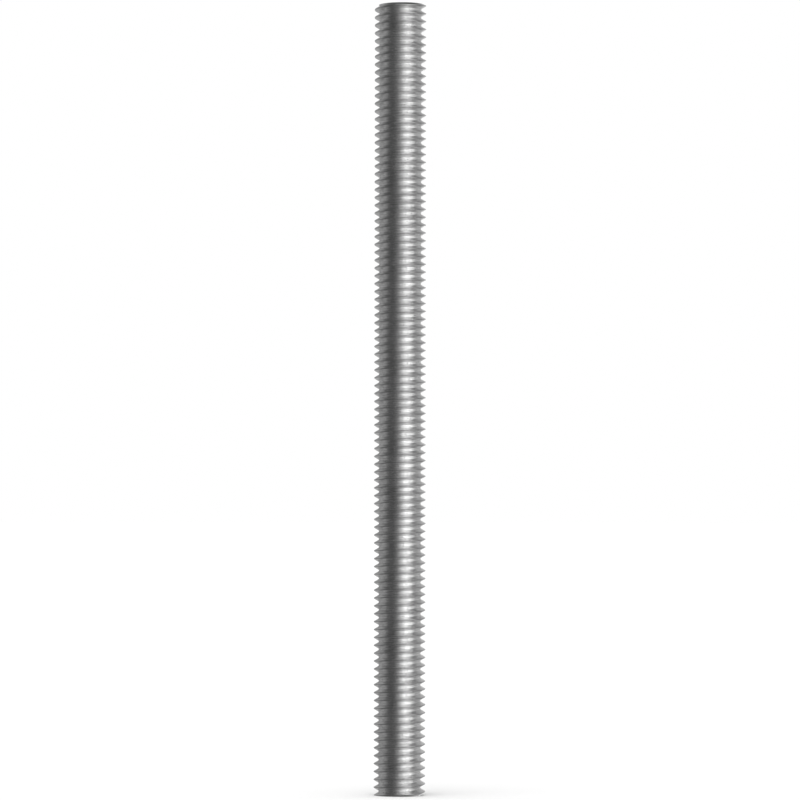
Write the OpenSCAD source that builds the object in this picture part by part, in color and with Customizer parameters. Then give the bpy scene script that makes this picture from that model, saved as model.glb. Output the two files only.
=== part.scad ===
// Metric threaded rod (all-thread).
// One steel bar with a right-hand ISO thread rolled on it from end to end, and both
// ends cut off square. It stands on its lower end, and the origin is the middle of
// that end. The thread is one ridge carried up a helix, true to the ISO 60 degree form.

/* [Thread] */
// Major diameter, over the crests (an M10 thread measures a little under 10)
major_d = 9.85; // [8:0.05:14]
// Pitch, the climb of the thread in one turn
pitch = 1.5; // [1:0.05:2]
// Angle between the two flanks of the ridge
flank_angle = 60; // [50:1:70]
// Direction around the axis in which a crest meets the lower end
start_angle = 180; // [0:5:355]

/* [Rod] */
// Length from one cut end to the other
rod_length = 151; // [40:0.5:220]

/* [Hidden] */

// The ISO form is a sharp V with an eighth of its pitch cut off the crest, and a root
// that stops at 17/24 of the height of the V.
v_height = pitch / 2 / tan(flank_angle / 2);
thread_depth = v_height * 17 / 24;
crest_width = pitch / 8;
flank_width = thread_depth * tan(flank_angle / 2);
major_r = major_d / 2;
minor_r = major_r - thread_depth;

// One pitch of the profile, as heights above the middle of the crest: the two edges of
// the crest, and then the two edges of the root.
corner_heights = [
    -crest_width / 2,
    crest_width / 2,
    crest_width / 2 + flank_width,
    pitch - crest_width / 2 - flank_width
];
corners = len(corner_heights);

// The helix runs past both ends by this many turns, where the cuts flatten it away
spare_turns = 2;
turns = ceil(rod_length / pitch) + 2 * spare_turns;

// A turn has as many sides as the whole rod can afford. The number is even, so that the
// rod is as wide to the left of its axis as to the right.
facet_budget = 12900;
rod_corners = corners * rod_length / pitch;
sides = 2 * floor(facet_budget / (4 * rod_corners));
steps = turns * sides;

// Which side of the rod a step of the helix is on, as a share of one turn
function side_share(step) = (step % sides) / sides;

// Height of the middle of the crest at a step
function crest_height(step) = pitch * (step / sides - spare_turns);

// Distance along the rod from the nearest crest
function past_crest(height) = abs(height - pitch * round(height / pitch));

// Radius of the profile at a height above any crest
function profile_r(height) =
    let (down_flank = (past_crest(height) - crest_width / 2) / tan(flank_angle / 2))
    max(minor_r, min(major_r, major_r - down_flank));

// A square cut: what reaches past an end, or all but reaches it, comes to it
cut_tolerance = 0.001;
function on_rod(height) =
    height < cut_tolerance ? 0
    : height > rod_length - cut_tolerance ? rod_length
    : height;

function thread_point(step, corner) =
    let (
        height = on_rod(crest_height(step) + corner_heights[corner]),
        r = profile_r(height - pitch * side_share(step)),
        angle = start_angle + 360 * side_share(step)
    )
    [r * cos(angle), r * sin(angle), height];

points = [
    for (step = [0 : steps])
        for (corner = [0 : corners - 1])
            thread_point(step, corner)
];

function index(step, corner) = step * corners + corner;

// The next corner up a side, where the last corner of one turn meets the first of the next
function index_above(step, corner) =
    corner + 1 < corners ? index(step, corner + 1) : index(step + sides, 0);

// Past a cut, the corners of a side fall together, and a face there has no area
function has_area(face) =
    points[face[0]] != points[face[1]]
    && points[face[1]] != points[face[2]]
    && points[face[2]] != points[face[0]];

// Two triangles fill the panel from one side of the helix to the next
function panel(step, corner) =
    let (
        here = index(step, corner),
        ahead = index(step + 1, corner),
        above = index_above(step, corner),
        above_ahead = index_above(step + 1, corner)
    )
    [[here, above, above_ahead], [here, above_ahead, ahead]];

thread_faces = [
    for (step = [0 : steps - sides - 1])
        for (corner = [0 : corners - 1])
            for (face = panel(step, corner))
                if (has_area(face)) face
];
lower_end = [for (step = [0 : sides - 1]) index(step, 0)];
upper_end = [for (back = [1 : sides]) index(steps - back, 0)];

module threaded_rod() {
    color("silver")
        polyhedron(points, concat(thread_faces, [lower_end, upper_end]), convexity = 4);
}

threaded_rod();
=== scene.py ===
from math import asin, atan2, ceil, cos, degrees, floor, pi, radians, sin, tan

import bmesh
import bpy
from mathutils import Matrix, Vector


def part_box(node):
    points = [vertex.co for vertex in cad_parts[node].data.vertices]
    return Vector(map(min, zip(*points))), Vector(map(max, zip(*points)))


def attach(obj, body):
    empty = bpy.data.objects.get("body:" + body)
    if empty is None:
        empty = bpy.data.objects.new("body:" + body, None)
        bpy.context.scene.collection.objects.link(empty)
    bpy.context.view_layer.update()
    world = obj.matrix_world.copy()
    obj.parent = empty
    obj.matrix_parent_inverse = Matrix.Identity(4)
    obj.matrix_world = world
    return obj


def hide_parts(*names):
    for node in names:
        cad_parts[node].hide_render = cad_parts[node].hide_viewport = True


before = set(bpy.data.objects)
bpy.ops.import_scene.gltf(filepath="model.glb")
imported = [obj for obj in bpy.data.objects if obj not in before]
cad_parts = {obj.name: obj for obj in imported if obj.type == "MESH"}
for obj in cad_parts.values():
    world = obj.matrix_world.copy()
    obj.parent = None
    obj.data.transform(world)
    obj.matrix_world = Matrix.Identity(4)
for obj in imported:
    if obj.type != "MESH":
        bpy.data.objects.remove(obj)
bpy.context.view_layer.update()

mm = 0.001
lowCorner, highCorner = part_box("threaded_rod")
rodLength = highCorner[2] - lowCorner[2]
crestRadius = (highCorner[0] - lowCorner[0]) / 2
print("frame loaded: rod %.1f mm long, %.2f mm over the crests" % (rodLength / mm, 2 * crestRadius / mm))


def linearColour(hexCode):
    # sRGB hex to the linear values that the shaders take
    values = [int(hexCode[i:i + 2], 16) / 255 for i in (1, 3, 5)]
    return (*[v / 12.92 if v <= 0.04045 else ((v + 0.055) / 1.055) ** 2.4 for v in values], 1.0)


def addNode(tree, kind, inputs=None, **settings):
    # one node with its settings: an input takes a value, another node's output, or a node, which
    # stands for its first output
    node = tree.nodes.new(kind)
    for name, value in settings.items():
        setattr(node, name, value)
    for name, value in (inputs or {}).items():
        if isinstance(value, bpy.types.Node):
            value = value.outputs[0]
        if isinstance(value, bpy.types.NodeSocket):
            tree.links.new(value, node.inputs[name])
        else:
            node.inputs[name].default_value = value
    return node


def newMaterial(name):
    material = bpy.data.materials.new(name)
    material.use_nodes = True
    material.node_tree.nodes.clear()
    return material, material.node_tree


def newObject(name, bm, material):
    mesh = bpy.data.meshes.new(name)
    bm.to_mesh(mesh)
    bm.free()
    mesh.materials.append(material)
    thing = bpy.data.objects.new(name, mesh)
    bpy.context.scene.collection.objects.link(thing)
    return thing


camera = {
    "distance": 750 * mm,
    "lens": 176.7,
    "aim": 75.3 * mm,       # the height it looks at
    "lookUp": 1.5,          # degrees
    "side": 0.035 * mm,
    "roll": -0.085,         # degrees
}


def makeCamera(settings):
    # a long lens from a little below the middle of the rod
    lookUp = radians(settings["lookUp"])
    data = bpy.data.cameras.new("camera")
    data.lens = settings["lens"]
    data.sensor_width = 36
    data.clip_start = 10 * mm
    eye = bpy.data.objects.new("camera", data)
    eye.location = (settings["side"], -settings["distance"] * cos(lookUp),
                    settings["aim"] - settings["distance"] * sin(lookUp))
    eye.rotation_euler = (radians(90) + lookUp, radians(settings["roll"]), 0)
    bpy.context.scene.collection.objects.link(eye)
    bpy.context.scene.camera = eye


makeCamera(camera)
print("camera set")


# a mark has three sizes: how long it is along the thread or the saw cut, how wide, and how deep
steel = {
    "zinc": "#ededed",
    "smoothest": 0.05,      # roughness
    "roughest": 0.26,
    "rollMark": (1.8 * mm, 0.2 * mm, 0.009 * mm),
    "ripple": (1.2 * mm, 0.5 * mm, 0.016 * mm),
    "dullZinc": "#d6d6d6",
    "dullPatch": 3 * mm,
    # the crest line's colour: partly a rolling seam, partly painted shade for the dark that the crest
    # reflects
    "seamAndShadeZinc": "#d0d0d0",
    "seamShadeReach": 0.12 * mm,     # to each side of the middle of the crest
    "pitFloor": "#6a6a6a",
    "pitSpacing": 0.55 * mm,
    "pitSize": 0.09 * mm,
    "pitDepth": 0.03 * mm,
    "sawnSteel": "#a8a8a8",
    "sawMark": (9 * mm, 0.4 * mm, 0.06 * mm),
    "sawnRoughness": 0.33,
    "endFacing": 0.97,      # how nearly level a face is to count as a sawn end, at most 1
}


def zincPlatedSteel(settings, pitch):
    # bright electroplated zinc on thread-rolled steel: a clear, nearly white metal, smooth enough to
    # mirror a lamp softly, with fine marks left along the thread by the rolling dies
    material, tree = newMaterial("zinc_plated_steel")
    place = addNode(tree, "ShaderNodeTexCoord")
    thread = addNode(tree, "ShaderNodeUVMap", uv_map="thread")

    # real roll marks are some hundredths of a millimetre wide, and these are wider so that they show
    long, wide, deep = settings["rollMark"]
    rollSpace = addNode(tree, "ShaderNodeMapping", {"Vector": thread, "Scale": (1 / long, 1 / wide, 1)})
    rollMarks = addNode(tree, "ShaderNodeTexNoise", {"Vector": rollSpace, "Scale": 1.0, "Detail": 2.5})
    rollHeight = addNode(tree, "ShaderNodeMath", {0: rollMarks, 1: deep}, operation="MULTIPLY")
    long, wide, deep = settings["ripple"]
    rippleSpace = addNode(tree, "ShaderNodeMapping", {"Vector": thread, "Scale": (1 / long, 1 / wide, 1)})
    ripples = addNode(tree, "ShaderNodeTexNoise", {"Vector": rippleSpace, "Scale": 1.0, "Detail": 1.0})
    threadHeight = addNode(tree, "ShaderNodeMath", {
        0: ripples, 1: deep, 2: rollHeight}, operation="MULTIPLY_ADD")

    # dull patches, and pits here and there
    patches = addNode(tree, "ShaderNodeTexNoise", {
        "Vector": place.outputs["Object"], "Scale": 1 / settings["dullPatch"], "Detail": 3.0})
    dulled = addNode(tree, "ShaderNodeMapRange", {
        "Value": patches, "From Min": 0.45, "From Max": 0.75, "To Max": 0.8})
    pits = addNode(tree, "ShaderNodeTexVoronoi", {
        "Vector": place.outputs["Object"], "Scale": 1 / settings["pitSpacing"]})
    pitRim = settings["pitSize"] / settings["pitSpacing"]
    inPit = addNode(tree, "ShaderNodeMapRange", {
        "Value": pits, "From Min": pitRim, "From Max": pitRim / 3})

    # painted shade along the crest: a darker line, partly the fine seam that rolling leaves where the
    # metal from both sides meets, and partly standing in for the dark surround that the rounded crest
    # reflects
    across = addNode(tree, "ShaderNodeSeparateXYZ", {"Vector": thread})
    fromCrest = addNode(tree, "ShaderNodeMath", {
        0: across.outputs["Y"], 1: pitch / 2}, operation="PINGPONG")
    inSeamAndShade = addNode(tree, "ShaderNodeMapRange", {
        "Value": fromCrest, "From Min": settings["seamShadeReach"], "From Max": settings["seamShadeReach"] / 3})

    # the sawn ends are the faces that look straight up or down
    facing = addNode(tree, "ShaderNodeSeparateXYZ", {"Vector": place.outputs["Normal"]})
    level = addNode(tree, "ShaderNodeMath", {0: facing.outputs["Z"]}, operation="ABSOLUTE")
    sawn = addNode(tree, "ShaderNodeMath", {0: level, 1: settings["endFacing"]}, operation="GREATER_THAN")
    long, wide, deep = settings["sawMark"]
    sawSpace = addNode(tree, "ShaderNodeMapping", {
        "Vector": place.outputs["Object"], "Scale": (1 / long, 1 / wide, 1)})
    sawMarks = addNode(tree, "ShaderNodeTexNoise", {"Vector": sawSpace, "Scale": 1.0, "Detail": 3.0})
    sawHeight = addNode(tree, "ShaderNodeMath", {0: sawMarks, 1: deep}, operation="MULTIPLY")
    inSawMark = addNode(tree, "ShaderNodeMapRange", {
        "Value": sawMarks, "From Min": 0.55, "From Max": 0.4})
    sawnMarks = addNode(tree, "ShaderNodeMath", {0: inSawMark, 1: sawn}, operation="MULTIPLY")

    # each finish, and the painted crest shade, covers the one before it
    colour = addNode(tree, "ShaderNodeMix", {
        "Factor": dulled, 6: linearColour(settings["zinc"]), 7: linearColour(settings["dullZinc"])},
        data_type="RGBA")
    for covered, finish in ((inSeamAndShade, "seamAndShadeZinc"), (inPit, "pitFloor"), (sawnMarks, "sawnSteel")):
        colour = addNode(tree, "ShaderNodeMix", {
            "Factor": covered, 6: colour.outputs[2], 7: linearColour(settings[finish])},
            data_type="RGBA")
    rolled = addNode(tree, "ShaderNodeMapRange", {
        "Value": rollMarks, "From Min": 0.3, "From Max": 0.7,
        "To Min": settings["smoothest"], "To Max": settings["roughest"]})
    roughness = addNode(tree, "ShaderNodeMix", {
        "Factor": sawn, "A": rolled, "B": settings["sawnRoughness"]})

    # heights are in metres all the way, so the bump's own distance is one metre
    height = addNode(tree, "ShaderNodeMix", {"Factor": sawn, "A": threadHeight, "B": sawHeight})
    dented = addNode(tree, "ShaderNodeMath", {
        0: inPit, 1: -settings["pitDepth"], 2: height}, operation="MULTIPLY_ADD")
    bump = addNode(tree, "ShaderNodeBump", {"Height": dented, "Distance": 1.0})

    surface = addNode(tree, "ShaderNodeBsdfPrincipled", {
        "Base Color": colour.outputs[2], "Metallic": 1.0, "Roughness": roughness, "Normal": bump})
    addNode(tree, "ShaderNodeOutputMaterial", {"Surface": surface})
    return material


# the metric coarse thread: 60 degrees between the flanks, an eighth of the sharp height off its crests
rod = {
    "pitch": 1.5 * mm,
    "flankAngle": radians(60),
    "rootRadius": 0.2165 * mm,      # a sixth of the sharp height
    "rootSegments": 4,
    "crestRounding": 0.085 * mm,    # how far it reaches from each corner of the crest
    "crestSegments": 2,
    "sidesPerTurn": 64,
    "edgeBreak": 0.04 * mm,         # down from the sawn end
    "edgeBreakWidth": 0.05 * mm,    # and in from the outline
    "sharpEdge": radians(25),       # at a sawn end, an edge that turns by more is shaded sharp
    "weldReach": 0.004 * mm,        # points nearer than this are one point
    "cutReach": 0.0001 * mm,        # a point this near a cut is on it
    "levelReach": 0.001 * mm,       # and one this near a cut's height belongs to its rim
}


def turnAngle(point):
    # round the rod from -X, the way the thread climbs
    return atan2(-point.y, -point.x) % (2 * pi)


def cutEnd(bm, settings, height, outward):
    # sawn square, with the sharp edge taken off
    level = height - outward * settings["edgeBreak"]
    bmesh.ops.bisect_plane(bm, geom=bm.verts[:] + bm.edges[:] + bm.faces[:], dist=settings["cutReach"],
                           plane_co=(0, 0, level), plane_no=(0, 0, outward), clear_outer=True)
    rim = [e for e in bm.edges if e.is_boundary
           and all(abs(v.co.z - level) < settings["levelReach"] for v in e.verts)]
    end = bmesh.ops.contextual_create(bm, geom=rim)["faces"]
    bmesh.ops.inset_region(bm, faces=end, thickness=settings["edgeBreakWidth"], use_even_offset=True)
    bmesh.ops.translate(bm, vec=(0, 0, height - level), verts=end[0].verts)
    return end


def layThread(bm, settings):
    # the thread unrolled: U runs along it and V across it, from one crest to the next, both real sizes
    pitch = settings["pitch"]
    unrolled = bm.loops.layers.uv.new("thread")
    for face in bm.faces:
        middle = face.calc_center_median()
        middleAngle = turnAngle(middle)
        turn = floor(middle.z / pitch - middleAngle / (2 * pi))
        for loop in face.loops:
            angle = (turnAngle(loop.vert.co) - middleAngle + pi) % (2 * pi) - pi + middleAngle
            along = turn + angle / (2 * pi)
            loop[unrolled].uv = (along * 2 * pi * crestRadius, loop.vert.co.z - along * pitch)


def makeRod(settings, material):
    pitch = settings["pitch"]
    halfAngle = settings["flankAngle"] / 2
    sharpHeight = pitch / 2 / tan(halfAngle)
    sharpRoot = crestRadius - sharpHeight * 7 / 8
    turns = ceil(rodLength / pitch) + 1
    bm = bmesh.new()
    # one pitch on the -X side: the middle of a crest, down into the groove and up to the next crest
    outline = [(crestRadius, 0), (crestRadius, pitch / 16), (sharpRoot, pitch / 2),
               (crestRadius, pitch * 15 / 16), (crestRadius, pitch)]
    corners = [bm.verts.new((-radius, 0, height - pitch)) for radius, height in outline]
    for low, high in zip(corners, corners[1:]):
        bm.edges.new((low, high))
    rounding = {"profile": 0.5, "affect": "VERTICES", "material": -1}
    root, crests = corners[2], [corners[1], corners[3]]
    bmesh.ops.bevel(bm, geom=[root], offset=settings["rootRadius"] / tan(halfAngle),
                    segments=settings["rootSegments"], **rounding)
    bmesh.ops.bevel(bm, geom=crests, offset=settings["crestRounding"],
                    segments=settings["crestSegments"], **rounding)

    # one turn, then twice as many turns each time
    bmesh.ops.spin(bm, geom=bm.verts[:] + bm.edges[:], cent=(0, 0, 0), axis=(0, 0, 1), angle=2 * pi,
                   dvec=(0, 0, pitch / settings["sidesPerTurn"]), steps=settings["sidesPerTurn"],
                   use_merge=False)
    made = 1
    while made < turns:
        copied = bmesh.ops.duplicate(bm, geom=bm.verts[:] + bm.edges[:] + bm.faces[:])["geom"]
        bmesh.ops.translate(bm, vec=(0, 0, pitch * made),
                            verts=[v for v in copied if isinstance(v, bmesh.types.BMVert)])
        made *= 2
        beyond = [v for v in bm.verts if v.co.z > rodLength + 2 * pitch]
        bmesh.ops.delete(bm, geom=beyond, context="VERTS")
    bmesh.ops.remove_doubles(bm, verts=bm.verts[:], dist=settings["weldReach"])

    ends = cutEnd(bm, settings, 0, -1) + cutEnd(bm, settings, rodLength, 1)
    bmesh.ops.recalc_face_normals(bm, faces=bm.faces[:])
    layThread(bm, settings)
    for face in bm.faces:
        face.smooth = face not in ends
    broken = 1.01 * settings["edgeBreak"]
    for edge in bm.edges:
        atEnd = any(min(v.co.z, rodLength - v.co.z) < broken for v in edge.verts)
        edge.smooth = not (atEnd and edge.calc_face_angle() > settings["sharpEdge"])
    print("rod: %d faces, %d open edges" % (len(bm.faces), sum(1 for e in bm.edges if not e.is_manifold)))
    return newObject("rolled_rod", bm, material)


rolledRod = makeRod(rod, zincPlatedSteel(steel, rod["pitch"]))
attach(rolledRod, "root")
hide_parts("threaded_rod")
print("rod made")


# diffuse light on a level surface adds up to a little over one, at which a colour shows as written
studio = {
    "floorSize": 20,        # metres
    "floorColour": "#ffffff",
    "skyLight": 0.75,
    "lampLight": 0.3,
    "lampTilt": 10,         # degrees off straight down
    "lampTurn": -35,        # degrees about the upright, which puts it on the camera's left
    "lampWidth": 28,        # degrees of the sky that it fills
}


def makeFloor(settings):
    bm = bmesh.new()
    bmesh.ops.create_grid(bm, x_segments=1, y_segments=1, size=settings["floorSize"] / 2)
    material, tree = newMaterial("white_floor")
    surface = addNode(tree, "ShaderNodeBsdfDiffuse", {"Color": linearColour(settings["floorColour"])})
    addNode(tree, "ShaderNodeOutputMaterial", {"Surface": surface})
    ground = newObject("floor", bm, material)
    ground.visible_glossy = False


def makeSky(settings):
    # white where it is seen, directly or in metal and glass, and a plain level where it lights
    sky = bpy.data.worlds.new("studio")
    sky.use_nodes = True
    tree = sky.node_tree
    tree.nodes.clear()
    path = addNode(tree, "ShaderNodeLightPath")
    seen = addNode(tree, "ShaderNodeMath", {
        0: path.outputs["Is Camera Ray"], 1: path.outputs["Is Glossy Ray"]}, operation="ADD")
    seenThrough = addNode(tree, "ShaderNodeMath", {
        0: seen, 1: path.outputs["Is Transmission Ray"]}, operation="ADD", use_clamp=True)
    strength = addNode(tree, "ShaderNodeMix", {
        "Factor": seenThrough, "A": settings["skyLight"], "B": 1.0})
    light = addNode(tree, "ShaderNodeBackground", {"Color": (1, 1, 1, 1), "Strength": strength})
    addNode(tree, "ShaderNodeOutputWorld", {"Surface": light})
    bpy.context.scene.world = sky


def makeLamp(settings):
    # far and wide, so the whole floor is lit alike and the shadow has a soft edge
    tilt = radians(settings["lampTilt"])
    data = bpy.data.lights.new("soft_lamp", "SUN")
    data.energy = settings["lampLight"] * pi / cos(tilt)
    data.angle = radians(settings["lampWidth"])
    lamp = bpy.data.objects.new("soft_lamp", data)
    lamp.rotation_euler = (tilt, 0, radians(settings["lampTurn"]))
    lamp.visible_glossy = False
    bpy.context.scene.collection.objects.link(lamp)


makeFloor(studio)
makeSky(studio)
makeLamp(studio)
print("floor, sky and lamp made")


# soft cards round the rod, which only its reflections see. Across is in degrees from the camera (0)
# towards +X (90), up is in degrees above the middle of the rod, and each says where the card starts,
# where it ends and how soft its edges are. A card that leans moves across by that much for a degree up,
# and the flag is black and takes light off the wall behind it.
tent = {
    "radius": 1.5,              # metres
    "segments": (144, 72),      # round and up
    "cloth": 0.1,               # the strength between the cards
    "cards": {
        "softBox": {"across": (10, 80, 50), "up": (-10, 10, 5), "strength": 2, "lean": 1},
        "upperCard": {"across": (10, 70, 60), "up": (20, 60, 40), "strength": 0.9},
        "lowerCard": {"across": (10, 70, 60), "up": (-40, -20, 20), "strength": 1.2},
        "frontFill": {"across": (-20, 0, 40), "up": (-40, 40, 10), "strength": 0.15},
        "rightWall": {"across": (90, 200, 60), "up": (-20, 40, 30), "strength": 0.4},
        "leftWall": {"across": (-140, -70, 50), "up": (-20, 20, 20), "strength": 0.35},
        "leftFlag": {"across": (-120, -60, 30), "up": (-10, 10, 10), "strength": -0.2},
        "backCard": {"across": (150, 220, 40), "up": (-60, -20, 50), "strength": 0.4},
        "rimCard": {"across": (170, 175, 10), "up": (-30, 30, 10), "strength": 0.9},
        "rearCard": {"across": (-150, -110, 20), "up": (20, 50, 10), "strength": 0.3},
        "topCard": {"across": (-400, 400, 8), "up": (75, 95, 8), "strength": 0.5},     # all round
    },
}


def softWindow(value, start, end, edge):
    # one between start and end, with an edge that fades on both sides of each
    fade = [min(max(v / edge + 0.5, 0), 1) for v in (value - start, end - value)]
    return fade[0] ** 2 * (3 - 2 * fade[0]) * fade[1] ** 2 * (3 - 2 * fade[1])


def makeTent(settings):
    bm = bmesh.new()
    meridians, rings = settings["segments"]
    bmesh.ops.create_uvsphere(bm, u_segments=meridians, v_segments=rings, radius=settings["radius"])
    glow = bm.verts.layers.float.new("glow")
    for vert in bm.verts:
        across = degrees(atan2(vert.co.x, -vert.co.y))
        up = degrees(asin(max(-1, min(1, vert.co.z / settings["radius"]))))
        vert[glow] = settings["cloth"]
        for card in settings["cards"].values():
            middle = sum(card["across"][:2]) / 2
            leaned = across - card.get("lean", 0) * (up - sum(card["up"][:2]) / 2)
            turned = (leaned - middle + 180) % 360 - 180 + middle
            strength = card["strength"] * softWindow(turned, *card["across"])
            vert[glow] += strength * softWindow(up, *card["up"])
    bmesh.ops.translate(bm, vec=(0, 0, rodLength / 2), verts=bm.verts[:])
    material, tree = newMaterial("tent_cloth")
    material.cycles.emission_sampling = "NONE"
    painted = addNode(tree, "ShaderNodeAttribute", attribute_name="glow")
    light = addNode(tree, "ShaderNodeEmission", {"Strength": painted.outputs["Fac"]})
    addNode(tree, "ShaderNodeOutputMaterial", {"Surface": light})
    cloth = newObject("light_tent", bm, material)
    cloth.visible_camera = False
    cloth.visible_diffuse = False
    cloth.visible_shadow = False
    cloth.visible_transmission = False


makeTent(tent)
bpy.context.scene.view_settings.view_transform = "Standard"
print("light tent made")
